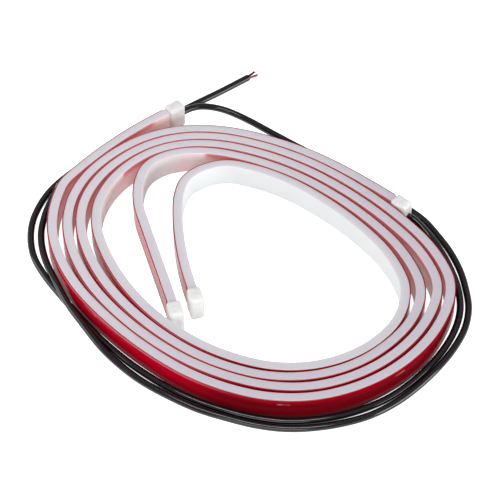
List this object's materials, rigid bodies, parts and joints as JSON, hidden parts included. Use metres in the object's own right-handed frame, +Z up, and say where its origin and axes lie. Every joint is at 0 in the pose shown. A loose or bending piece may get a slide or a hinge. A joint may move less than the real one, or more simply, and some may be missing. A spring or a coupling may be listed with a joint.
{
  "type": "door warning led strip",
  "caption": "Two silicone light strips wound in one loose coil on edge, with red-lined adhesive backs, moulded end caps and bare-ended black leads; warning light for a car door's edge.",
  "frame": {"origin": "middle of the coil's footprint without the two leads, on the floor it stands on", "axes": "+Z up, along the height of the strips; X and Y across the coil, with the front of the picture towards -Y"},
  "size_m": [0.2106, 0.2349, 0.0137],
  "materials": {
    "silicone": "milky translucent satin silicone",
    "foam_tape": "matte foam with a clear adhesive",
    "liner": "glossy red release film",
    "circuit": "white solder mask",
    "led": "white housing with a yellow phosphor window",
    "resistor": "matte black chip with bright ends",
    "cap": "milky translucent moulded silicone",
    "tinned": "tinned copper and solder, half bright",
    "red_core": "semi-gloss core insulation",
    "black_core": "semi-gloss core insulation",
    "jacket": "semi-gloss black cable jacket"
  },
  "bodies": {
    "root": {"sleeve_a": "silicone", "tape_a": "foam_tape", "liner_a": "liner", "circuit_a": "circuit", "leds_a": "led", "resistors_a": "resistor", "lead_cap_a": "cap", "end_cap_a": "cap", "solder_a": "tinned", "red_core_a": "red_core", "black_core_a": "black_core", "cable_a": "jacket", "tips_a": "tinned", "sleeve_b": "silicone", "tape_b": "foam_tape", "liner_b": "liner", "circuit_b": "circuit", "leds_b": "led", "resistors_b": "resistor", "lead_cap_b": "cap", "end_cap_b": "cap", "solder_b": "tinned", "red_core_b": "red_core", "black_core_b": "black_core", "cable_b": "jacket", "tips_b": "tinned"}
  },
  "joints": []
}
